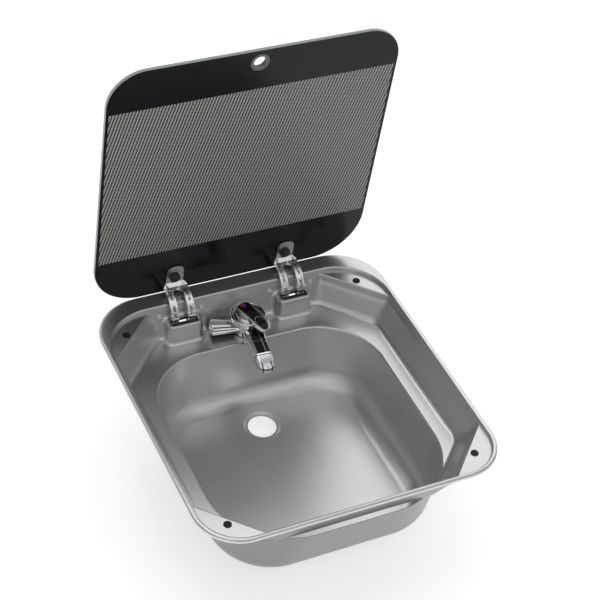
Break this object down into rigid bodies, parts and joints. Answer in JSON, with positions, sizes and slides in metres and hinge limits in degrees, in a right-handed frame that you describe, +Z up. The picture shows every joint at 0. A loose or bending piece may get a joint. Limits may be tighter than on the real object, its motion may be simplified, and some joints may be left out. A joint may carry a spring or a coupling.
{
  "type": "sink with hinged glass lid and mixer tap",
  "caption": "Drop-in stainless sink with a rounded bowl, a hinged black glass lid with a finger hole, and a low swivelling single-lever mixer tap on its back ledge.",
  "frame": {"origin": "centre of the rim's seat plane, where the rim rests on the worktop", "axes": "+Z up out of the worktop, +Y toward the lid's hinges, +X to the right seen from the front"},
  "size_m": [0.42, 0.4456, 0.5426],
  "materials": {
    "stainless": "satin pressed stainless sheet",
    "rubber_black": "soft black rubber",
    "black_glass": "toughened glass with a black print on its back",
    "plastic_grey": "moulded plastic",
    "plastic_black": "moulded plastic",
    "plastic_red": "glossy",
    "plastic_blue": "glossy",
    "chrome": "polished plating",
    "screw_steel": "bright screw steel",
    "brass": "plain turned brass"
  },
  "bodies": {
    "sink": {"sink_pressing": "stainless", "lid_bumpers": "rubber_black", "rim_seal": "rubber_black", "hinge_screws": "screw_steel", "hinge_nuts": "screw_steel", "tap_gasket": "rubber_black", "tap_body": "chrome", "horn_cap": "chrome", "tap_head": "chrome", "collar_ring": "chrome", "spout_rings": "rubber_black", "shank_washer": "screw_steel", "shank_nut": "brass", "inlet_tails": "screw_steel", "slot_insert_left": "plastic_black", "hinge_bracket_left": "screw_steel", "hinge_pin_left": "screw_steel", "friction_washers_left": "plastic_black", "slot_insert_right": "plastic_black", "hinge_bracket_right": "screw_steel", "hinge_pin_right": "screw_steel", "friction_washers_right": "plastic_black"},
    "lid": {"lid_glass": "black_glass", "finger_ring": "plastic_grey", "hinge_strap_left": "chrome", "strap_pad_left": "rubber_black", "strap_bolt_left": "screw_steel", "strap_cap_left": "plastic_black", "hinge_strap_right": "chrome", "strap_pad_right": "rubber_black", "strap_bolt_right": "screw_steel", "strap_cap_right": "plastic_black"},
    "spout_arm": {"spout": "chrome", "aerator": "plastic_grey"},
    "valve": {"cartridge": "plastic_grey"},
    "handle": {"lever": "chrome", "warm_mark": "plastic_red", "cold_mark": "plastic_blue"}
  },
  "joints": [
    {"name": "lid_hinge", "type": "hinge", "parent": "sink", "child": "lid", "pos_m": [0, 0.2065, -0.01504], "axis": [1, 0, 0], "range_deg": [-4.2, 85.8]},
    {"name": "spout_swivel", "type": "hinge", "parent": "sink", "child": "spout_arm", "pos_m": [0.004, 0.156, -0.0233], "axis": [0, 0, 1], "range_deg": [-20, 70]},
    {"name": "lever_turn", "type": "hinge", "parent": "sink", "child": "valve", "pos_m": [0.004, 0.156, -0.0193], "axis": [0, 0, 1], "range_deg": [-64.5, 25.5]},
    {"name": "lever_lift", "type": "hinge", "parent": "valve", "child": "handle", "pos_m": [0.004, 0.156, -0.0193], "axis": [-0.9426, -0.3338, 0], "range_deg": [0, 10]}
  ]
}
